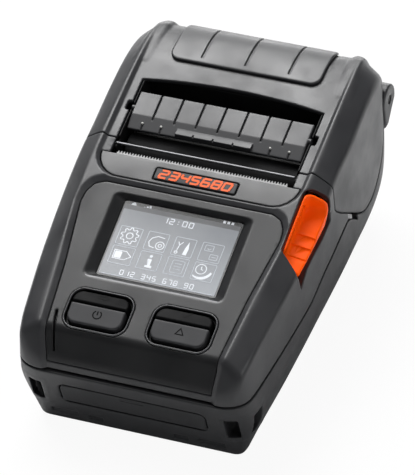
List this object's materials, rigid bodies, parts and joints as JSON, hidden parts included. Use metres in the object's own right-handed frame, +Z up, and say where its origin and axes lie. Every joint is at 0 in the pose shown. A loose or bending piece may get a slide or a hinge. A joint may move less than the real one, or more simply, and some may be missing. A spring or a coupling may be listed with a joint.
{
  "type": "portable label printer",
  "caption": "Portable label printer with a hinged media cover, tilting peeler, latch lever, screen panel with press keys, sliding media guides, geared platen and a clip-in battery pack.",
  "frame": {"origin": "middle of the footprint, on the surface it rests on", "axes": "+X towards the printer's right, +Y towards its rear (the cover's hinge), +Z up"},
  "size_m": [0.084, 0.131, 0.063],
  "materials": {
    "top_housing": "fine texture",
    "control_panel": "fine texture",
    "screen_lens": "polished",
    "lcd_module": "plain",
    "key_frame_left": "polished",
    "key_frame_right": "polished",
    "power_key": "satin",
    "feed_key": "satin",
    "up_key": "satin",
    "confirm_key": "satin",
    "keypad_board": "coated",
    "tear_plate": "fine texture",
    "nameplate": "satin",
    "tear_bar": "ground",
    "media_cover": "fine texture",
    "cover_inlay": "fine texture",
    "cover_frame": "plain",
    "peel_bar": "ground",
    "peeler_plate": "fine texture",
    "hinge_pin": "ground",
    "platen_roller": "ground",
    "platen_shaft": "ground",
    "platen_gear": "plain",
    "platen_bush_left": "ground",
    "platen_bush_right": "ground",
    "idler_gear": "plain",
    "idler_pin": "ground",
    "motor_pinion": "plain",
    "stepper_motor": "plain",
    "chassis": "plain",
    "print_head": "plain",
    "head_heatsink": "plain",
    "head_spring_left": "wire",
    "head_spring_right": "wire",
    "latch_lever": "satin",
    "latch_shaft": "plain",
    "media_guide_left": "plain",
    "media_guide_right": "plain",
    "guide_pinion": "plain",
    "bottom_housing": "fine texture",
    "battery_pack": "plain",
    "battery_latch": "plain",
    "port_cover": "soft",
    "main_board": "coated",
    "usb_socket": "plain",
    "base_screw_1": "plain",
    "base_screw_2": "plain",
    "base_screw_3": "plain",
    "base_screw_4": "plain",
    "cover_stop": "plain"
  },
  "bodies": {
    "printer": {"top_housing": "top_housing", "control_panel": "control_panel", "screen_lens": "screen_lens", "lcd_module": "lcd_module", "key_frame_left": "key_frame_left", "key_frame_right": "key_frame_right", "keypad_board": "keypad_board", "tear_plate": "tear_plate", "nameplate": "nameplate", "tear_bar": "tear_bar", "hinge_pin": "hinge_pin", "idler_pin": "idler_pin", "stepper_motor": "stepper_motor", "chassis": "chassis", "print_head": "print_head", "head_heatsink": "head_heatsink", "head_spring_left": "head_spring_left", "head_spring_right": "head_spring_right", "bottom_housing": "bottom_housing", "battery_pack": "battery_pack", "main_board": "main_board", "usb_socket": "usb_socket", "base_screw_1": "base_screw_1", "base_screw_2": "base_screw_2", "base_screw_3": "base_screw_3", "base_screw_4": "base_screw_4", "cover_stop": "cover_stop"},
    "cover": {"media_cover": "media_cover", "cover_inlay": "cover_inlay", "cover_frame": "cover_frame", "peel_bar": "peel_bar", "platen_bush_left": "platen_bush_left", "platen_bush_right": "platen_bush_right"},
    "platen": {"platen_roller": "platen_roller", "platen_shaft": "platen_shaft", "platen_gear": "platen_gear"},
    "idler": {"idler_gear": "idler_gear"},
    "pinion": {"motor_pinion": "motor_pinion"},
    "peeler": {"peeler_plate": "peeler_plate"},
    "latch": {"latch_lever": "latch_lever", "latch_shaft": "latch_shaft"},
    "power_button": {"power_key": "power_key"},
    "feed_button": {"feed_key": "feed_key"},
    "up_button": {"up_key": "up_key"},
    "confirm_button": {"confirm_key": "confirm_key"},
    "guide_left": {"media_guide_left": "media_guide_left"},
    "guide_right": {"media_guide_right": "media_guide_right"},
    "guide_gear": {"guide_pinion": "guide_pinion"},
    "port_flap": {"port_cover": "port_cover"},
    "battery_catch": {"battery_latch": "battery_latch"}
  },
  "joints": [
    {"name": "cover_hinge", "type": "hinge", "parent": "printer", "child": "cover", "pos_m": [0, 0.0605, 0.043], "axis": [-1, 0, 0], "range_deg": [0, 100]},
    {"name": "platen_spin", "type": "hinge", "parent": "cover", "child": "platen", "pos_m": [0, 0.0132, 0.0465], "axis": [1, 0, 0], "continuous": true},
    {"name": "idler_spin", "type": "hinge", "parent": "printer", "child": "idler", "pos_m": [-0.037, 0.01302, 0.036], "axis": [1, 0, 0], "continuous": true},
    {"name": "pinion_spin", "type": "hinge", "parent": "printer", "child": "pinion", "pos_m": [-0.037, 0.00777, 0.02691], "axis": [1, 0, 0], "continuous": true},
    {"name": "peeler_hinge", "type": "hinge", "parent": "cover", "child": "peeler", "pos_m": [0, 0.0215, 0.05666], "axis": [-1, 0, 0], "range_deg": [0, 70]},
    {"name": "latch_turn", "type": "hinge", "parent": "printer", "child": "latch", "pos_m": [0, -0.0032, 0.026], "axis": [-1, 0, 0], "range_deg": [0, 3.5], "stiffness_Nm_per_rad": 0.4, "springref_deg": -3.44},
    {"name": "power_press", "type": "slide", "parent": "printer", "child": "power_button", "axis": [0, 0.2602, -0.9656], "range_m": [0, 0.0008], "stiffness_N_per_m": 800},
    {"name": "feed_press", "type": "slide", "parent": "printer", "child": "feed_button", "axis": [0, 0.2602, -0.9656], "range_m": [0, 0.0008], "stiffness_N_per_m": 800},
    {"name": "up_press", "type": "slide", "parent": "printer", "child": "up_button", "axis": [0, 0.2602, -0.9656], "range_m": [0, 0.0008], "stiffness_N_per_m": 800},
    {"name": "confirm_press", "type": "slide", "parent": "printer", "child": "confirm_button", "axis": [0, 0.2602, -0.9656], "range_m": [0, 0.0008], "stiffness_N_per_m": 800},
    {"name": "guide_right_slide", "type": "slide", "parent": "printer", "child": "guide_right", "axis": [-1, 0, 0], "range_m": [0, 0.0118]},
    {"name": "guide_left_slide", "type": "slide", "parent": "printer", "child": "guide_left", "axis": [1, 0, 0], "range_m": [0, 0.0118]},
    {"name": "guide_gear_turn", "type": "hinge", "parent": "printer", "child": "guide_gear", "pos_m": [0, 0.0385, 0.0075], "axis": [0, 0, -1], "range_deg": [0, 113]},
    {"name": "port_flap_hinge", "type": "hinge", "parent": "printer", "child": "port_flap", "pos_m": [0, -0.06267, 0.01115], "axis": [1, 0, 0], "range_deg": [0, 100]},
    {"name": "battery_catch_slide", "type": "slide", "parent": "printer", "child": "battery_catch", "axis": [0, 1, 0], "range_m": [0, 0.0024], "stiffness_N_per_m": 500}
  ],
  "couplings": [
    {"joint": "idler_spin", "follows": "platen_spin", "ratio": -0.4},
    {"joint": "pinion_spin", "follows": "platen_spin", "ratio": 1},
    {"joint": "guide_left_slide", "follows": "guide_right_slide", "ratio": 1},
    {"joint": "guide_gear_turn", "follows": "guide_right_slide", "rad_per_m": 166.67}
  ]
}
